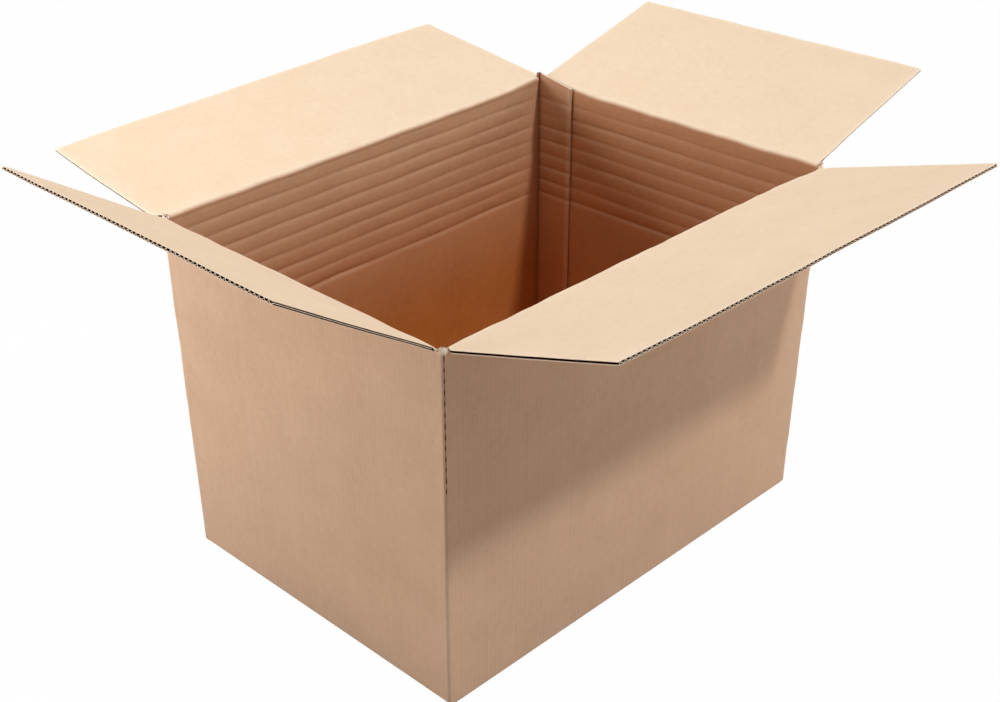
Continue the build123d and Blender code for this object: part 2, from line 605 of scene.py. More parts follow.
@dataclass(frozen=True)
class Scores:
    """Scores pressed across the inner faces, one for each lower height of the carton.

    Attributes:
        crease: Height of the crease that they count down from.
        pitch: Distance between scores.
        count: Number of scores.
        depth: Depth of a score.
        spread: Distance over which the board rises again to a third of the depth.
        lowest: Strength of the lowest score, where the others are about 0.85.
        fading: Share by which a score's strength comes and goes along it.
        waver: How far a score strays from its height.
        groove: Strength of the painted shade in the groove.
        groove_width: Half width of that dark line.
        ridge: Strength of the painted highlight on the shoulder under the groove.
        ridge_below: Distance of that pale line below the groove.
        ridge_width: Half width of the pale line.
    """

    crease: float
    pitch: float = 9.6
    count: int = 8
    depth: float = 0.62
    spread: float = 2.4
    lowest: float = 1.3
    fading: float = 0.3
    waver: float = 0.35
    groove: float = 0.5
    groove_width: float = 0.65
    ridge: float = 0.22
    ridge_below: float = 1.6
    ridge_width: float = 1.2

    def levels(self) -> Array:
        """Heights of the scores, from the top down."""
        return self.crease - self.pitch * np.arange(1, self.count + 1)

    def rows(self) -> Array:
        """Grid rows that catch each groove and the swells beside it."""
        above = np.array([0.35, 0.75, 1.3, 2.0, 2.9, 4.0])
        offsets = np.concatenate([-above[::-1], [0.0], above])
        return (self.levels()[:, None] + offsets).ravel()

    def relief(self, u: Array, z: Array, seed: int) -> tuple[Array, Array]:
        """Grooves over a grid.

        Args:
            u: Places along the wall.
            z: Heights.
            seed: Chooses how each score wanders.

        Returns:
            Depth towards the outside, which falls off by powers of e on either side of each
            score, so that the board between them swells like a pillow, and the painted shade in
            the groove with a painted highlight below it.
        """
        depth = np.zeros(np.broadcast(u, z).shape)
        press = np.zeros_like(depth)
        for number, level in enumerate(self.levels()):
            strength = 0.85 + 0.15 * sin(2.3 * number + seed)
            if number == self.count - 1:
                strength = self.lowest
            strength = strength * (1.0 + self.fading * wander(u, 70.0, seed + 20 + number))
            away = z - level - self.waver * wander(u, 60.0, seed + number)
            depth += self.depth * strength * np.exp(-np.abs(away) / self.spread)
            # Painted highlight on the shoulder below each score, and painted shade in its groove.
            ridge = self.ridge * bell((away + self.ridge_below) / self.ridge_width)
            press += strength * (ridge - self.groove * bell(away / self.groove_width))
        return depth, press


@dataclass
class WallPanel:
    """One wall with its bottom flap, as a sheet folded once at the foot.

    Attributes:
        side: The side that it stands on.
        board: The board.
        scores: Scores on its inner face.
        foot: Height of the underside of its bottom flap.
        free_edge: Distance of the bottom flap's free edge from the centre.
        marks: Places of faint upright pressed marks along the wall.
        outer_round: Radius of the fold outside.
        inner_round: Radius of the fold inside.
        root: Distance of the wall's top below the crease.
        warp: Height of the slow swells in the sheet.
        warp_length: About how long one swell is.
        fade: Distance over which the swells fade towards the foot and the top.
        mark_width: Half width of a pressed mark.
        mark_depth: Depth of a pressed mark.
        mark_scuff: Scuffing of the paper on a press mark.
        corner_press: Painted shade on the inner paper next to the upright corners.
        corner_width: Half width of that dark line.
        tint: Share of the painted inside shade at the crease and deep inside.
    """

    side: Side
    board: Board
    scores: Scores
    foot: float
    free_edge: float
    marks: tuple[float, ...] = ()
    outer_round: float = 1.4
    inner_round: float = 0.4
    root: float = 5.0
    warp: float = 0.3
    warp_length: float = 110.0
    fade: float = 25.0
    mark_width: float = 0.9
    mark_depth: float = 0.1
    mark_scuff: float = 0.12
    corner_press: float = 0.5
    corner_width: float = 3.0
    tint: tuple[float, float] = INSIDE_SHADE_SHARES

    def profile(self) -> tuple[Array, Array, Array]:
        """Rows of the folded sheet, from the bottom flap's free edge to the wall's top.

        Returns:
            Outer and inner paths as pairs of outward place and height, and the place of each
            row on the flat sheet. Each path is a level run, a quarter circle and an upright
            run.
        """
        half = self.board.caliper / 2
        run = smooth(np.linspace(0.0, 1.0, 12))
        turn = np.linspace(0.0, pi / 2, 9)[1:]
        top = self.side.pivot_height - self.root
        start = self.foot + self.board.caliper + self.inner_round + 0.2
        plain = np.linspace(start, self.scores.rows().min() - 2.0, 16)
        pressed = np.sort(self.scores.rows())
        rise = np.concatenate([plain, pressed[pressed < top - 0.3], [top]])
        near = self.free_edge - self.side.middle
        paths = []
        for face, level, bend in ((half, self.foot, self.outer_round),
                                  (-half, self.foot + self.board.caliper, self.inner_round)):
            level_run = np.stack([near + run * (face - bend - near), np.full_like(run, level)])
            curve = np.stack([face - bend + bend * np.sin(turn),
                              level + bend - bend * np.cos(turn)])
            upright = np.stack([np.full_like(rise, face), rise])
            paths.append(np.concatenate([level_run, curve, upright], axis=1))
        sheet = np.concatenate([self.foot - (1.0 - run) * (half - near), self.foot + turn, rise])
        return paths[0], paths[1], sheet

    def build(self) -> Shell:
        """Builds the wall.

        Returns:
            One slab: the two paths of the profile carried along the wall, with slow swells on
            both faces and the scores on the inner face. They fade to nothing at the edges,
            where the next pieces meet it.
        """
        outer, inner, sheet = self.profile()
        u = self.board.columns(self.side.width)[None, :]
        seed = 11 * self.side.wall.value + 3
        v = sheet[:, None]
        upright = smooth((outer[1][:, None] - self.foot - 3.0) / self.fade)
        top = smooth((self.side.pivot_height - self.root - v) / self.fade)
        inset = 1.0 - np.abs(2.0 * u / self.side.width) ** 12
        swell = self.warp * upright * top * inset * drift(u, v, self.warp_length, seed)
        marked = sum((bell((u - mark) / self.mark_width) for mark in self.marks),
                     np.zeros_like(u)) * upright
        depth, press = self.scores.relief(u, v, seed)
        on_wall = (v > self.foot + self.board.caliper) * inset
        # Painted shade on the inner face next to the upright corners.
        corner = bell((np.abs(u) - self.side.width / 2) / self.corner_width)
        out = outer[0][:, None] + swell - self.mark_depth * marked
        into = inner[0][:, None] + swell + depth * on_wall
        shell = Shell(f"{self.side.name}_wall")
        shell.slab(
            self.side.place(u, out, outer[1][:, None] + 0.0 * u),
            self.side.place(u, into, inner[1][:, None] + 0.0 * u),
            self.side.sheet(u, v),
            (Finish.OUTER, Finish.INNER, Finish.EDGE),
            self.mark_scuff * marked,
            press * on_wall - self.corner_press * upright * corner,
            inside_shade_share(v, self.tint),
        )
        return shell


@dataclass
class CornerFold:
    """An upright corner: the sheet folded round it, with perforations and a post on top.

    Attributes:
        x_side: Sign of its X.
        y_side: Sign of its Y.
        corner: Distances of the outer corner from the centre.
        board: The board.
        scores: Scores on its inner faces.
        foot: Height of its foot at the short wall.
        top: Height of its post.
        long_foot: Height of its foot at the long wall.
        arm: Length of each arm, from the corner to the slot.
        fold_round: Radius of the fold outside.
        inner_round: Radius of the fold inside.
        toe_round: Radius of the foot's outer edge.
        slot_play: How far the post stands back from the flaps.
        pinch: How much more of that play the crumpled post takes.
        crumple: How uneven the post's top is.
        waver: How far the fold strays from upright.
        slit_start: Distance of the first slit below the crease.
        slit_pitch: Distance between slits.
        slit_length: Length of a slit.
        slit_width: Width of a slit.
        slit_depth: Depth of a slit.
        slit_at: Place of the slits round the fold, from its middle towards the short wall.
        line_depth: Depth of the fold line that joins the slits.
        line_width: Half width of that line.
        wear: Scuffing of the paper on the fold, with a painted highlight down its round.
    """

    x_side: int
    y_side: int
    corner: tuple[float, float]
    board: Board
    scores: Scores
    foot: float
    top: float
    long_foot: float = 0.4
    arm: float = 4.3
    fold_round: float = 1.75
    inner_round: float = 0.4
    toe_round: float = 0.9
    slot_play: float = 0.6
    pinch: float = 1.7
    crumple: float = 0.45
    waver: float = 0.12
    slit_start: float = 2.6
    slit_pitch: float = 6.3
    slit_length: float = 2.8
    slit_width: float = 0.5
    slit_depth: float = 1.0
    slit_at: float = -0.55
    line_depth: float = 0.12
    line_width: float = 0.24
    wear: float = 0.5

    def place(self, a: Array, b: Array, z: Array) -> Array:
        """Points from their distances inwards from the outer corner along either wall."""
        return stacked(self.x_side * (self.corner[0] - a), self.y_side * (self.corner[1] - b), z)

    def plan(self) -> tuple[Array, Array, Array]:
        """Outer and inner paths in plan, and the place of each column along the fold.

        Returns:
            Each path runs straight, round a quarter circle and straight, and the third array
            measures the outer path from the middle of the fold.
        """
        reach = pi / 4 * self.fold_round
        slit = self.slit_width / 2
        edges = self.slit_at + np.array([-slit - 0.05, -slit, slit, slit + 0.05])
        turn = np.unique(np.concatenate([np.linspace(-reach, reach, 23), edges]))
        angle = turn / self.fold_round + pi / 4
        bend = self.fold_round
        arm = np.linspace(self.arm, bend, 4)[:-1]
        outer = np.concatenate([
            np.stack([arm, 0.0 * arm]),
            np.stack([bend - bend * np.sin(angle), bend - bend * np.cos(angle)]),
            np.stack([0.0 * arm, arm])[:, ::-1],
        ], axis=1)
        inner_bend, wall = self.inner_round, self.board.caliper
        inner_arm = (wall + inner_bend
                     + (arm - bend) * (self.arm - wall - inner_bend) / (self.arm - bend))
        inner = np.concatenate([
            np.stack([inner_arm, np.full_like(arm, wall)]),
            wall + inner_bend * np.stack([1.0 - np.sin(angle), 1.0 - np.cos(angle)]),
            np.stack([np.full_like(arm, wall), inner_arm])[:, ::-1],
        ], axis=1)
        straight = reach + arm - bend
        along = np.concatenate([-straight, turn, straight[::-1]])
        return outer, inner, along

    def slits(self) -> Array:
        """Heights of the slits, from the crease to just below the lowest score."""
        first = self.scores.crease - self.slit_start
        last = self.scores.levels()[-1] - 0.6 * self.slit_pitch
        return np.arange(first, last, -self.slit_pitch)

    def rows(self) -> Array:
        """Grid rows that catch the slits, the scores and the foot."""
        half = self.slit_length / 2
        offsets = np.array([-half - 0.1, -half, 0.0, half, half + 0.1])
        slit_rows = (self.slits()[:, None] + offsets).ravel()
        plain = np.linspace(self.foot, self.slits()[-1] - 4.0, 22)
        foot = self.foot + np.array([0.15, 0.5, 1.0])
        post = np.linspace(self.scores.crease + 0.2, self.top - 0.4, 5)
        return np.unique(np.concatenate([plain, foot, slit_rows, post]))

    def build(self) -> Shell:
        """Builds the corner.

        Returns:
            One slab: the plan carried up the corner, sunk at the slits and the fold line that
            joins them, narrowed at the post, and rolled over at the top into the open groove
            between the liners. The foot's edge is a quarter circle.
        """
        outer, inner, along = self.plan()
        across = along[None, :]
        seed = 7 * self.x_side + 3 * self.y_side + 40
        rows = self.rows()
        lips = np.array([[self.top - 0.1, 0.04], [self.top, 0.09], [self.top - 0.1, 0.14],
                         [self.top - 0.6, 0.18], [self.top - 2.0, 0.26]])
        z = np.concatenate([rows, lips[:, 0]])[:, None]
        share = np.concatenate([0.0 * rows, lips[:, 1]])[:, None]
        crumple = smooth((z - self.scores.crease + 1.5) / 3.0)
        in_slit = self.slit_length / 2 + 0.05 - np.abs(rows[:, None] - self.slits())
        in_slit = np.max(clipped(in_slit / 0.1), axis=1)
        in_slit = np.concatenate([in_slit, np.zeros(len(lips))])[:, None]
        off = across - self.slit_at
        on_fold = clipped((self.slit_width / 2 + 0.05 - np.abs(off)) / 0.05)
        line = smooth((z - self.slits()[-1] + 3.0) / 2.0) * (1.0 - crumple)
        line = line * bell(off / self.line_width)
        sunk = self.slit_depth * in_slit * on_fold / np.sqrt(2.0) + self.line_depth * line
        up = clipped((z - self.foot) / self.toe_round)
        toe = self.toe_round * (1.0 - np.sqrt(clipped(1.0 - (1.0 - up) ** 2)))
        lower = (self.foot - self.long_foot) * (1.0 - smooth((across + 2.0) / 3.0))
        z = z - lower * (1.0 - clipped((z - self.foot) / 8.0))
        z = z + crumple * self.crumple * drift(across * 3.0, z, 9.0, seed)
        inset = 1.0 - np.abs(across) / np.abs(along).max()
        waver = self.waver * wander(z, 30.0, seed + 1) * inset
        straight = self.arm - self.board.caliper
        grid = []
        for path, bent in ((outer, sunk + toe + waver), (inner, waver)):
            ends = np.clip(path - self.board.caliper, 0.0, None)[:, None, :]
            a, b = path[:, None, :] - ends * crumple * self.pinch * self.slot_play / straight
            grid += [a + bent, b + bent]
        outer_a, outer_b, inner_a, inner_b = grid
        face = self.place(between(outer_a, inner_a, share), between(outer_b, inner_b, share), z)
        back = self.place(between(inner_a, outer_a, share), between(inner_b, outer_b, share), z)
        sheet = stacked(across + 60.0 * seed, z)
        # Scuffing of the fold with a painted highlight down its middle.
        worn_and_lit = self.wear * bell(across) * (0.6 + 0.4 * wander(z, 12.0, seed + 2))
        # Painted shade in the open groove at the post's top.
        groove = 0.9 * (share > 0.2)
        # Painted shade in the slits and on the fold line; the crumpled post is paler on both
        # faces, partly for its bared fibres and partly as a painted highlight.
        pressed = worn_and_lit + 2.0 * crumple - 1.1 * line - 2.2 * in_slit * on_fold - groove
        end = "front" if self.y_side < 0 else "back"
        hand = "left" if self.x_side < 0 else "right"
        shell = Shell(f"{end}_{hand}_fold")
        shell.slab(face, back, sheet, (Finish.OUTER, Finish.INNER, Finish.EDGE), pressed,
                   1.4 * crumple - groove, inside_shade_share(z, INSIDE_SHADE_SHARES))
        return shell


@dataclass
class GlueTab:
    """Tab of the back wall, folded in and glued to the inner face of the right wall.

    Attributes:
        side: The right side.
        board: The board.
        scores: Scores on its inner face.
        fold_at: Distance of the back wall's outer face from the centre.
        width: Width of the tab.
        top: Height of the tab's top at the fold.
        drop: How much lower its top is at the free edge.
        foot: Height of its foot.
        bend: Radius of the fold outside.
        tuck: How far the tab's arm runs into the back wall's faces.
        knee: Height above which the rows follow the sloping top.
        loose_from: Height at which the loose top is parted from the glued tab.
        slit_at: Distance of the slit that parts them, from the fold.
        loose: Heights between which the top would give way when the flap presses on it; nothing
            here bends it.
        tint: Share of the painted inside shade at the crease and deep inside.
        sheet_at: Place of the tab on the flat sheet.
    """

    side: Side
    board: Board
    scores: Scores
    fold_at: float
    width: float = 28.5
    top: float = 226.0
    drop: float = 4.9
    foot: float = 4.2
    bend: float = 0.9
    tuck: float = 0.12
    knee: float = 190.0
    loose_from: float = 203.0
    slit_at: float = 2.6
    loose: tuple[float, float] = (214.5, 231.0)
    tint: tuple[float, float] = (0.58, 0.92)
    sheet_at: float = 1900.0

    def build(self) -> tuple[Shell, Shell]:
        """Builds the tab.

        Returns:
            The glued part and the loose top, cut from one surface: a short arm tucked into
            the back wall, a quarter circle and a straight run in plan, carried up between a
            foot and a top that slope towards the free edge, with scores on the inner face.
            The top rolls over towards the middle of the board.
        """
        caliper = self.board.caliper
        turn = np.linspace(0.0, pi / 2, 9)
        run = np.concatenate([np.linspace(0.0, 1.0, 33)[1:-1], [0.985, 0.995, 1.0]])
        start = self.fold_at - self.bend
        stop = self.fold_at - caliper - self.width
        arm = 0.8 * np.array([2.4, 1.2])
        tuck = np.full_like(arm, self.tuck)
        corner = self.fold_at - caliper
        y_out = np.concatenate([self.fold_at - tuck, start + self.bend * np.cos(turn),
                                start + run * (stop - start)])
        n_out = np.concatenate([-self.bend - arm, self.bend * np.sin(turn) - self.bend,
                                0.0 * run]) - caliper / 2
        y_in = np.concatenate([corner + tuck, corner - 0.05 * turn, corner - run * self.width])
        n_in = np.concatenate([-arm, 0.0 * turn, 0.0 * run]) - 1.5 * caliper
        at = np.clip(corner - y_in, 0.0, self.width)[None, :]
        share = at / self.width
        n_in = n_in + 0.35 * (1.0 - clipped((y_in - stop) / 0.6))
        rows = np.unique(np.concatenate([np.linspace(0.0, 130.0, 14), self.scores.rows()]))
        rows = rows[(rows > self.foot + 2.0) & (rows < 211.0)]
        high = self.top - self.drop * share
        low = self.foot + self.drop * share
        level, knee = rows[:, None], self.knee
        z = np.where(level > knee, knee + (level - knee) * (high - knee) / (rows[-1] - knee),
                     low + (level - rows[0]) * (knee - low) / (knee - rows[0]))
        lips = np.array([[0.1, 0.05], [0.0, 0.13], [-0.2, 0.25], [-0.3, 0.4]])
        z = np.concatenate([z, high + lips[:, :1]])
        share_in = np.concatenate([np.zeros(len(rows)), lips[:, 1]])[:, None]
        u_out, u_in = -y_out[None, :] + 0.0 * z, -y_in[None, :] + 0.0 * z
        depth, press = self.scores.relief(u_in, z, 71)
        n_front = n_out[None, :] - 0.15 * share + 0.0 * z
        n_rear = n_in[None, :] - 0.15 * share + depth * smooth(at / 2.0)
        face = self.side.place(between(u_out, u_in, share_in),
                               between(n_front, n_rear, share_in), z)
        back = self.side.place(between(u_in, u_out, share_in),
                               between(n_rear, n_front, share_in), z)
        sheet = stacked(y_in[None, :] + self.sheet_at, z)
        # Lips of the top: painted shade on the post by the fold, and the pale cut edge along the
        # sloping top.
        rim = np.where(at < 1.5, -1.2, 0.9) * (share_in > 0.0)
        # Painted shadow on the face along the free edge, where the tab stands off the wall.
        face_light_and_wear = rim - 1.3 * (share > 0.99)
        # Painted shade and highlight of the scores, a paler strip along the free edge that stands
        # for its cut edge, and painted shade along the fold.
        back_light_and_wear = press + rim + 0.3 * smooth(at - self.width + 4.0) - 1.2 * bell(at / 1.4)
        cut = int(np.argmax(rows > self.loose_from))
        slit = int(np.argmax(at[0] > self.slit_at))
        papers = (Finish.OUTER, Finish.INNER, Finish.INNER)
        glued, loose = Shell("glue_tab"), Shell("glue_tab_top")
        for shell, part in ((glued, np.s_[:cut + 1, :]), (glued, np.s_[cut:, :slit + 1]),
                            (loose, np.s_[cut:, slit:])):
            shell.slab(face[part], back[part], sheet[part], papers, face_light_and_wear[part],
                       back_light_and_wear[part], inside_shade_share(z[part], self.tint))
        return glued, loose

    def ends(self) -> tuple[Vector, Vector]:
        """Points of the frame at the two loose heights."""
        return tuple(Vector(self.side.place(0.0, -self.board.caliper, level) * MILLIMETRE)
                     for level in self.loose)


@dataclass
class SeamEdge:
    """Cut edge of the right wall, which laps the folded back wall at the glued corner.

    Attributes:
        side: The right side.
        board: The board.
        scores: Heights of the scores and the crease.
        end: Distance of the cut edge from the centre.
        foot: Height of its foot.
        top: Height of its post.
    """

    side: Side
    board: Board
    scores: Scores
    end: float
    foot: float
    top: float

    def build(self) -> Shell:
        """Builds the edge.

        Returns:
            One slab: a short straight plan carried up the corner, whose last columns roll over
            the cut edge into the open flute between the liners.
        """
        half, start, end = self.board.caliper / 2, self.side.width / 2, self.end
        along = np.array([start, start + 1.2, end - 0.7, end - 0.1, end, end - 0.1, end - 1.0])
        inset = np.array([0.0, 0.0, 0.0, 0.05, 0.16, 0.26, 0.45])
        # Pale cut edge, then painted shade where it rolls into the open flute.
        press = np.array([0.0, 0.0, 0.0, 1.0, 1.0, 1.0, -1.6])
        beside_flap = np.arange(len(along)) < 2
        z = np.linspace(self.foot, self.top, 60)[:, None]
        play = 0.7 * smooth((z - self.scores.crease + 3.0) / 2.0) * beside_flap
        u = -(along + play + 0.1 * wander(z, 40.0, 91))
        shell = Shell("seam_edge")
        shell.slab(self.side.place(u, half - inset, z), self.side.place(u, -half + inset, z),
                   self.side.sheet(u, z), (Finish.OUTER, Finish.INNER, Finish.EDGE), press, press)
        return shell


@dataclass
class TopFlap:
    """One top flap with its crease and its wall's top: two liners and the flutes between.

    Attributes:
        side: The side that it turns on.
        board: The board.
        reach: Distance of its outer edge from the pivot line.
        root: How far below the pivot line its sheet starts.
        band: Half length of the stretch that bends.
        droop: How far the outer corners hang towards the outer face, at the two ends.
        fall: Power of the way along the crease by which they hang.
        sag: Power of the way out from the crease by which they hang.
        flare: Share by which the flap is wider than its crease.
        spread: How much further it reaches past the two ends of the crease, next to it.
        lift: How far the root is pushed up at the two ends, beside the glue tab.
        lift_length: How far from the end the root is pushed up.
        crushed: How far the knife pinched the board shut at the two side edges, as a share.
        edge_wave: One end of the crease, as a sign, and the angle of the flutes' wave there.
        crest_power: Power that narrows the flutes' crests.
        crowding: How strongly the flutes' columns crowd together on the crests.
        flute_columns: Columns to one flute.
        outer_fibres: Share by which the medium is thicker at the outer edge.
        side_fibres: Share by which it is thicker at the end that edge_wave names.
        tint: Share of the painted inside shade below the crease.
        core: Distance of the pressed outer liner from the pivot line.
        taper: Rise of the outer liner from the pressed crease to its full depth.
        dent: Depth of the dent in the inner face at the crease, as a share of the board.
        shut: Distances past the crease between which the pinched board opens.
        swell: Height of the slow swells in the flap.
        swell_length: About how long one swell is.
        crest_waver: How uneven the crease is.
        edge_waver: How far the cut edges stray.
        edge_length: About how long one stray of a cut edge is.
        rim: Width of the rim that strays with it.
        edge_scuff: Scuffing of the paper at the cut edges.
        crest_scuff: Scuffing of the inner paper on the crease.
    """

    side: Side
    board: Board
    reach: float = 109.95
    root: float = 5.0
    band: float = 2.5
    droop: tuple[float, float] = (0.0, 0.0)
    fall: float = 1.5
    sag: float = 1.3
    flare: float = 0.0
    spread: tuple[float, float] = (0.0, 0.0)
    lift: tuple[float, float] = (0.0, 0.0)
    lift_length: float = 26.0
    crushed: tuple[float, float] = (0.0, 0.0)
    edge_wave: tuple[int, float] = (1, -pi / 2)
    crest_power: float = 4.5
    crowding: float = 0.6
    flute_columns: float = 12.0
    outer_fibres: float = 0.8
    side_fibres: float = 0.6
    tint: float = INSIDE_SHADE_SHARES[0]
    core: float = 0.25
    taper: float = 0.31
    dent: float = 0.3
    shut: tuple[float, float] = (1.2, 3.8)
    swell: float = 0.3
    swell_length: float = 120.0
    crest_waver: float = 0.32
    edge_waver: float = 0.22
    edge_length: float = 45.0
    rim: float = 5.0
    edge_scuff: float = 0.8
    crest_scuff: float = 0.5

    def grid(self) -> tuple[Array, Array]:
        """Columns along the crease and rows away from it, close together where it bends."""
        rows = np.concatenate([
            [-self.root, -4.3, -3.8],
            np.linspace(-self.band - 0.3, self.band + 0.3, 21),
            [4.2, 5.2, 6.8, 9.0, 13.0],
            np.linspace(20.0, self.reach - 6.0, 10),
            self.reach - np.array([3.0, 1.2, 0.4, 0.0]),
        ])
        return self.board.columns(self.side.width)[None, :], rows[:, None]

    def skins(self, s: Array) -> tuple[Array, Array, Array, Array]:
        """Liner faces of the unfolded sheet at a distance from the crease.

        Args:
            s: Distance past the pivot line.

        Returns:
            Places, outwards from mid board, of the inner liner's face and back, then of the
            outer liner's back and face. The outer face tapers from the pressed core to its
            full depth, the inner face has a shallow bell-shaped dent at the crease, and up to
            there the board is pinched shut.
        """
        pivot, half = self.side.pivot_out, self.board.caliper / 2
        inner_full, outer_full = half + pivot, half - pivot
        inner = inner_full * (1.0 - self.dent * bell(s / (0.8 + 0.6 * inner_full)))
        outer = smooth_least(self.core + self.taper * np.sqrt(s * s + 0.02), outer_full, 0.08)
        outer_back = np.maximum(outer - self.board.liner, 0.03)
        shut = 1.0 - smooth((s - self.shut[0]) / (self.shut[1] - self.shut[0]))
        inner_back = (inner - self.board.liner) * (1.0 - shut) - (outer_back - 0.02) * shut
        return pivot - inner, pivot - inner_back, pivot + outer_back, pivot + outer

    def warp(self, u: Array, s: Array) -> Array:
        """Departure of the open flap from a plane, outwards from mid board.

        Args:
            u: Places along the crease.
            s: Distances past the pivot line.

        Returns:
            A hang that grows with the distance from the crease and from one end to the
            other, and swells to the side that stays free when the box is closed.
        """
        far = clipped(s / self.reach)
        end = clipped(0.5 + u / self.side.width)
        hang = self.droop[0] * (1.0 - end) ** self.fall + self.droop[1] * end ** self.fall
        free_side = -np.sign(self.side.pivot_out)
        uneven = 0.6 + drift(u, s, self.swell_length, 17 * self.side.wall.value + 5)
        swell = self.swell * free_side * smooth(s / 30.0) * uneven
        return hang * far ** self.sag * smooth(s / 12.0) + swell

    def fold_out(self, u: Array, s: Array, n: Array) -> Array:
        """Carries points of the unfolded sheet to the open flap.

        Args:
            u: Places along the crease.
            s: Distances past the pivot line.
            n: Places outwards from mid board.

        Returns:
            Points turned outwards about the pivot line, each by the fold angle times a smooth
            step of its distance past the crease. The crease is a little uneven, and a bell
            raises it at an end where the glue tab stands.
        """
        turn = self.side.fold * smooth((s + self.band) / (2.0 * self.band))
        off = n - self.side.pivot_out + self.warp(u, s)
        out = self.side.pivot_out + off * np.cos(turn) + s * np.sin(turn)
        half = self.side.width / 2
        raised = (self.lift[0] * bell((u + half) / self.lift_length)
                  + self.lift[1] * bell((u - half) / self.lift_length))
        raised = raised * smooth((s + self.root) / self.root) * (1.0 - clipped(s / self.reach))
        crest = self.crest_waver * bell(s / 4.0) * smooth((s + self.root) / 3.0)
        crest = crest * wander(u, 26.0, 31 * self.side.wall.value + 2)
        height = self.side.pivot_height - off * np.sin(turn) + s * np.cos(turn) + crest + raised
        return self.side.place(u, out, height)

    def uneven(self, u: Array, s: Array) -> tuple[Array, Array, Array]:
        """Cut edges that are not quite straight, and boards squeezed by the knife.

        Args:
            u: Places along the crease.
            s: Distances past the pivot line.

        Returns:
            The places moved a little at the edges, and the share of the thickness kept.
        """
        seed = 23 * self.side.wall.value
        open_part = smooth((s - 1.0) / 8.0)
        rim = smooth((s - self.reach + self.rim) / self.rim)
        half = self.side.width / 2
        side_rim = smooth((np.abs(u) - half + self.rim) / self.rim) * open_part
        moved_s = s + self.edge_waver * rim * wander(u, self.edge_length, seed + 1)
        side_waver = drift(s, 0.0 * s + u * 0.001, self.edge_length, seed + 2)
        moved_u = u + self.edge_waver * side_rim * side_waver
        end = clipped(0.5 + u / self.side.width)
        wider = self.spread[1] * end ** 8 - self.spread[0] * (1.0 - end) ** 8
        moved_u = moved_u * (1.0 + self.flare * smooth((s - 0.5) / 6.0))
        moved_u = moved_u + wider * smooth((s - 0.5) / 5.0) * (1.0 - clipped(s / self.reach))
        pinched = self.crushed[0] * bell(u + half) + self.crushed[1] * bell(u - half)
        return moved_u, moved_s, 1.0 - open_part * pinched

    def liners(self) -> Shell:
        """Builds the two liners.

        Returns:
            Two thin slabs: the liner faces of the unfolded sheet, folded out to the open flap.
        """
        u, s = self.grid()
        inner, inner_back, outer_back, outer = (skin + 0.0 * u for skin in self.skins(s))
        moved_u, moved_s, kept = self.uneven(u, s)
        side_edge = bell(self.side.width / 2 - np.abs(u)) * smooth(s / 6.0)
        edge_wear = (bell((self.reach - s) / 1.2) + side_edge) * self.edge_scuff
        crest = self.crest_scuff * bell((s - 0.5) / 2.2) * (0.6 + 0.4 * drift(u, s, 14.0, 5))
        tint = self.tint * (1.0 - smooth((s + 1.5) / 2.2))
        sheet = self.side.sheet(u, s + FLAP_ON_SHEET)
        shell = Shell(f"{self.side.name}_flap_liners")
        for skin, paper, press in (((inner, inner_back), Finish.INNER, edge_wear + crest),
                                   ((outer, outer_back), Finish.OUTER, edge_wear)):
            face, back = (self.fold_out(moved_u, moved_s, n * kept) for n in skin)
            # The liners' backs, which face the hollows of the flutes, get painted shade.
            shell.slab(face, back, sheet, (paper, Finish.FLUTE, Finish.EDGE), press, -0.4, tint)
        return shell

    def flutes(self) -> Shell:
        """Builds the wavy medium between the liners.

        Returns:
            One thin slab: a wave along the crease that lies flat on the outer liner and rises
            in narrow crests, by a power of a raised sine, to touch the inner one. It is given
            its thickness along the wave's own normal, more on the crests at the outer edge
            and at one side edge, where the fibres stand up, and folded out with the flap.
            Columns crowd together on the crests: an even angle e gives the wave's angle
            e + c cos e, and the even angles of the two ends are found by repeated steps.
        """
        half = self.side.width / 2 - 0.05
        wave = tau / self.board.pitch
        phase = self.edge_wave[1] - self.edge_wave[0] * wave * half
        ends = wave * np.array([-half, half]) + phase
        even = ends
        for _ in range(40):
            even = ends - self.crowding * np.cos(even)
        count = round(2.0 * half / self.board.pitch * self.flute_columns) + 1
        even = np.linspace(*even, count)[None, :]
        angle = even + self.crowding * np.cos(even)
        u = (angle - phase) / wave
        _, s = self.grid()
        s = np.minimum(s[s >= 4.0], self.reach - 0.15)[:-1, None]
        _, inner_back, outer_back, _ = self.skins(s)
        middle = (inner_back + outer_back) / 2
        swing = (outer_back - inner_back - self.board.medium) / 2
        raised, power = 0.5 + 0.5 * np.sin(angle), self.crest_power
        shape = 1.0 - 2.0 * raised ** power
        slope = -swing * wave * power * raised ** (power - 1.0) * np.cos(angle)
        length = np.sqrt(1.0 + slope ** 2)
        cut = (self.outer_fibres * smooth((s - self.reach + 1.8) / 1.5)
               + self.side_fibres * bell((half - self.edge_wave[0] * u) / 0.35))
        thickness = self.board.medium * (1.0 + cut * raised ** 2)
        moved_u, moved_s, kept = self.uneven(u, s)
        faces = []
        for sign in (0.5, -0.5):
            offset = sign * thickness
            n = middle + swing * shape + offset / length
            faces.append(self.fold_out(moved_u - offset * slope / length, moved_s, n * kept))
        shell = Shell(f"{self.side.name}_flap_flutes")
        shell.slab(*faces, self.side.sheet(u, s + FLAP_ON_SHEET),
                   (Finish.FLUTE, Finish.FLUTE, Finish.EDGE))
        return shell

    def ends(self) -> tuple[Vector, Vector]:
        """Points of the frame between which the sheet bends."""
        level, height, turn = self.side.pivot_out, self.side.pivot_height, self.side.fold
        low = self.side.place(0.0, level, height - self.band)
        high = self.side.place(0.0, level + self.band * sin(turn), height + self.band * cos(turn))
        return Vector(low * MILLIMETRE), Vector(high * MILLIMETRE)


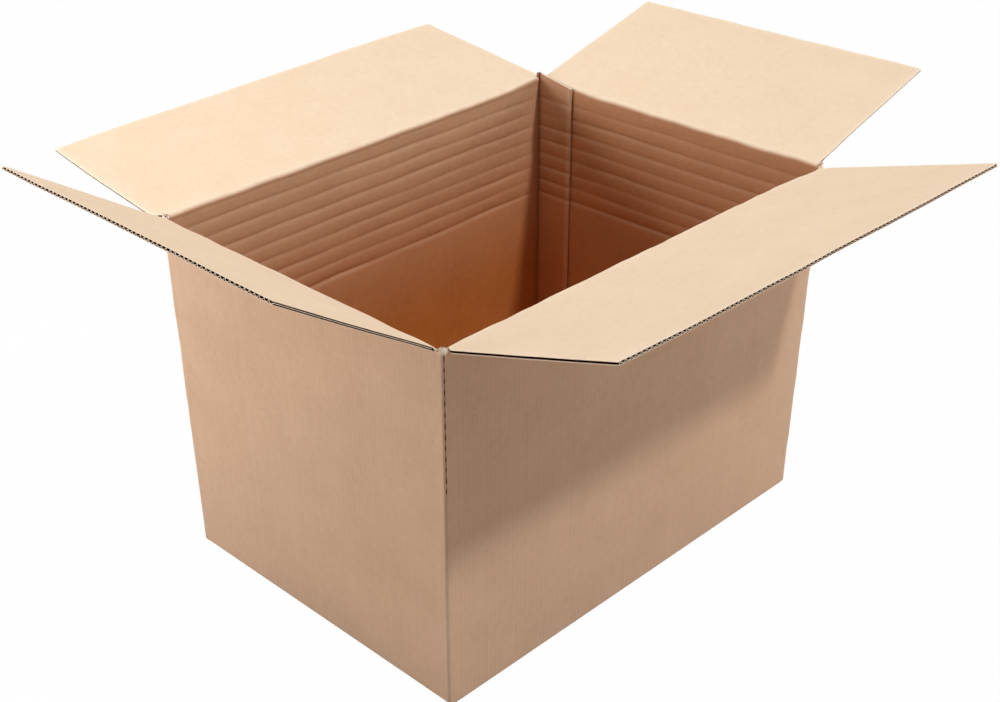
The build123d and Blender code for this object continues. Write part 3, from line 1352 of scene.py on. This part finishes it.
@dataclass
class Carton:
    """The whole carton, from its board to its pieces.

    Attributes:
        board: The board.
        ply_gap: Gap between the two layers of the bottom.
        bottom_seam: Gap between the long bottom flaps.
        bottom_reach: Reach of a short bottom flap from mid board.
        seam_set_back: How far the glued corner's cut edge stands back.
        tab_stands: How much higher the glued corner's cut edge stands than the other corners.
        toe: Height of the corners' feet.
        back_tint: Share of the painted inside shade at the back crease.
        right_tint: Share of the painted inside shade at the right crease.
    """

    board: Board = field(default_factory=Board)
    ply_gap: float = 0.3
    bottom_seam: float = 0.5
    bottom_reach: float = 110.85
    seam_set_back: float = 0.5
    tab_stands: float = 2.5
    toe: float = 2.2
    back_tint: float = 0.54
    right_tint: float = 0.72

    def build(self, materials: dict[Finish, bpy.types.Material]) -> None:
        """Builds every piece, and fixes the walls, corners, seam edge and glued tab to the
        carton's body.

        Args:
            materials: The material of each paper.
        """
        sides = read_sides(self.board)
        high = np.array(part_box("carton_body")[1]) / MILLIMETRE
        scores = Scores(crease=sides[Wall.LEFT].pivot_height)
        tab = GlueTab(sides[Wall.RIGHT], self.board, scores, high[1])
        glued, loose = tab.build()
        for shell in (*self.body(sides, scores, high), glued):
            piece = shell.make(materials)
            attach(piece, "carton")
            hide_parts("carton_body")
            self.report(piece)
        piece = loose.make(materials)
        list(tab.ends())
        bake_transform(piece)
        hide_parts("carton_body")
        self.report(piece)
        flaps = (
            TopFlap(sides[Wall.BACK], self.board, band=3.2, droop=(5.5, 0.0), sag=0.5,
                    flare=0.019, spread=(3.2, 0.0), lift=(0.0, 2.6), crushed=(0.5, 0.0),
                    tint=self.back_tint),
            TopFlap(sides[Wall.LEFT], self.board, droop=(-1.0, -1.0), fall=0.0,
                    edge_wave=(-1, 2.34)),
            TopFlap(sides[Wall.FRONT], self.board, band=3.2, droop=(3.8, 0.0), fall=0.7,
                    flare=0.02, lift=(-2.2, 0.0)),
            TopFlap(sides[Wall.RIGHT], self.board, lift=(3.0, 0.0), crushed=(0.0, 0.65),
                    tint=self.right_tint),
        )
        for flap in flaps:
            body = f"{flap.side.name}_flap"
            for shell in (flap.liners(), flap.flutes()):
                piece = shell.make(materials)
                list(flap.ends())
                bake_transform(piece)
                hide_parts(body)
                self.report(piece)

    def body(self, sides: dict[Wall, Side], scores: Scores, high: Array) -> list[Shell]:
        """Builds the walls, corners and seam.

        Args:
            sides: The four sides.
            scores: The scores.
            high: Highest corner of the carton's box.

        Returns:
            The shells that stay with the carton's body.
        """
        foot = self.board.caliper + self.ply_gap
        long_edge = self.bottom_seam / 2
        short_edge = sides[Wall.LEFT].middle - self.bottom_reach
        corner = (high[0], high[1])
        panels = (
            WallPanel(sides[Wall.BACK], self.board, scores, 0.0, long_edge,
                      tint=(self.back_tint, 1.0)),
            WallPanel(sides[Wall.LEFT], self.board, scores, foot, short_edge, marks=(48.0,)),
            WallPanel(sides[Wall.FRONT], self.board, scores, 0.0, long_edge, marks=(42.0,)),
            WallPanel(sides[Wall.RIGHT], self.board, scores, foot, short_edge,
                      tint=(self.right_tint, 0.88)),
        )
        folds = [CornerFold(x_side, y_side, corner, self.board, scores, self.toe, high[2])
                 for x_side, y_side in ((-1, -1), (-1, 1), (1, -1))]
        seam = SeamEdge(sides[Wall.RIGHT], self.board, scores, high[1] - self.seam_set_back,
                        foot, high[2] + self.tab_stands)
        return [part.build() for part in (*panels, *folds, seam)]

    def report(self, piece: bpy.types.Object) -> None:
        """Logs the piece's number of faces."""
        log.info("%s: %d faces", piece.name, len(piece.data.polygons))


@dataclass(frozen=True)
class Studio:
    """Floor, light and camera.

    Attributes:
        eye: Place of the camera.
        view: Direction that it looks in.
        right: Direction to its right.
        focal: Focal length, in image widths.
        shift: How far the picture is moved off the lens axis, in image widths.
        sensor: Width of the camera's sensor, in millimetres.
        clip: Nearest and furthest distances that it shows, in metres.
        key: Share of the light from the key lamp.
        key_from: Direction towards the key lamp.
        key_softness: How wide the key lamp looks, in degrees.
        overhead: Share of the light from the wide lamp above.
        overhead_softness: How wide that lamp looks, in degrees.
        side: Share of the light from the panel at the left.
        side_at: Place of that panel.
        low: Share of the light from the panel at the right front.
        low_at: Place of that panel.
        panel_size: Length of a panel's side.
        aim: Point that the panels face.
        ambient: Share of the light from all round.
        floor: Colour of the floor as it throws light back.
        floor_reach: Distance of the floor's edge from the centre, in metres.
        floor_glow: Share of the floor's white that doesn't take a shadow.
    """

    eye: Triple = (-589.9, -566.9, 568.5)
    view: Triple = (0.5875, 0.6279, -0.5105)
    right: Triple = (0.7204, -0.6931, -0.0234)
    focal: float = 1.5491
    shift: tuple[float, float] = (0.07, 0.049)
    sensor: float = 36.0
    clip: tuple[float, float] = (0.01, 50.0)
    key: float = 0.48
    key_from: Triple = (0.26, -1.0, 1.51)
    key_softness: float = 5.0
    overhead: float = 0.42
    overhead_softness: float = 45.0
    side: float = 0.78
    side_at: Triple = (-600.0, 610.0, 350.0)
    low: float = 0.34
    low_at: Triple = (700.0, -520.0, 240.0)
    panel_size: float = 500.0
    aim: Triple = (0.0, 0.0, 120.0)
    ambient: float = 0.14
    floor: Colour = (0.48, 0.42, 0.37)
    floor_reach: float = 8.0
    floor_glow: float = 0.99

    def add(self, name: str, data: bpy.types.ID, place: Matrix) -> bpy.types.Object:
        """Adds an object to the scene.

        Args:
            name: Name of the object.
            data: Its camera, lamp or mesh.
            place: Where it stands and how it is turned.

        Returns:
            The object.
        """
        item = bpy.data.objects.new(name, data)
        item.matrix_world = place
        bpy.context.scene.collection.objects.link(item)
        return item

    def camera(self) -> None:
        """Sets up the camera, whose lens and shift are fitted to a frame of 1000 by 702."""
        data = bpy.data.cameras.new("camera")
        data.sensor_width = self.sensor
        data.lens = self.focal * data.sensor_width
        data.shift_x, data.shift_y = self.shift
        data.clip_start, data.clip_end = self.clip
        view = Vector(self.view).normalized()
        right = Vector(self.right)
        right = (right - view * right.dot(view)).normalized()
        rows = Matrix((right, right.cross(view), -view)).transposed()
        place = Matrix.Translation(Vector(self.eye) * MILLIMETRE) @ rows.to_4x4()
        bpy.context.scene.camera = self.add("camera", data, place)

    def lamp(self, name: str, share: float, source: Triple, softness: float) -> None:
        """Adds a distant lamp.

        Args:
            name: Name of the lamp.
            share: Light on a surface that faces it, where 1 shows a colour as written.
            source: Direction towards the lamp.
            softness: How wide it looks, in degrees.
        """
        data = bpy.data.lights.new(name, "SUN")
        data.energy = share * pi
        data.angle = radians(softness)
        self.add(name, data, Vector(source).to_track_quat("Z", "Y").to_matrix().to_4x4())

    def panel(self, name: str, share: float, place: Triple) -> None:
        """Adds a square lamp that faces the carton.

        Args:
            name: Name of the lamp.
            share: Light on a surface at the carton that faces it, where 1 shows a colour as
                written.
            place: Place of the lamp.
        """
        data = bpy.data.lights.new(name, "AREA")
        data.size = self.panel_size * MILLIMETRE
        source = Vector(place) * MILLIMETRE
        away = source - Vector(self.aim) * MILLIMETRE
        data.energy = share * pi * pi * away.length_squared
        turn = away.to_track_quat("Z", "Y").to_matrix().to_4x4()
        self.add(name, data, Matrix.Translation(source) @ turn)

    def seen(self, graph: Graph) -> Socket:
        """1 for rays that show the surroundings themselves, 0 for rays that gather light."""
        rays = graph.node("ShaderNodeLightPath", output="Is Camera Ray")
        node = rays.link.node
        glossy = Socket(graph, node.outputs["Is Glossy Ray"])
        through = Socket(graph, node.outputs["Is Transmission Ray"])
        return (rays + glossy + through).held()

    def surroundings(self) -> None:
        """Adds the white room light and the pale floor, which keeps a soft shadow."""
        world = bpy.data.worlds.new("studio")
        bpy.context.scene.world = world
        graph = Graph(world)
        strength = self.ambient + (1.0 - self.ambient) * self.seen(graph)
        sky = graph.node("ShaderNodeBackground", None, {"Color": WHITE, "Strength": strength})
        graph.node("ShaderNodeOutputWorld", None, {"Surface": sky})
        mesh = bpy.data.meshes.new("floor")
        corners = ((-1, -1), (1, -1), (1, 1), (-1, 1))
        reach = self.floor_reach
        mesh.from_pydata([(reach * x, reach * y, 0) for x, y in corners], [], [(0, 1, 2, 3)])
        material = bpy.data.materials.new("floor")
        graph = Graph(material)
        matt = graph.node("ShaderNodeBsdfDiffuse", None, {"Color": (*self.floor, 1.0)})
        glow = graph.node("ShaderNodeEmission", None, {"Color": WHITE})
        share = self.seen(graph) * self.floor_glow
        graph.surface(graph.node("ShaderNodeMixShader", None, {0: share, 1: matt, 2: glow}))
        mesh.materials.append(material)
        floor = self.add("floor", mesh, Matrix())

    def build(self) -> None:
        """Sets up camera, lamps and surroundings."""
        bpy.context.scene.view_settings.view_transform = "Standard"
        self.camera()
        self.lamp("key", self.key, self.key_from, self.key_softness)
        self.lamp("overhead", self.overhead, (0.0, 0.0, 1.0), self.overhead_softness)
        self.panel("side", self.side, self.side_at)
        self.panel("low", self.low, self.low_at)
        self.surroundings()


def main() -> None:
    """Builds the carton, then the studio round it."""
    logging.basicConfig(level=logging.INFO, format="%(name)s %(message)s")
    board = Board()
    materials = {paper.finish: paper.material(board) for paper in PAPERS}
    Carton(board).build(materials)
    Studio().build()


if __name__ == "__main__":
    main()
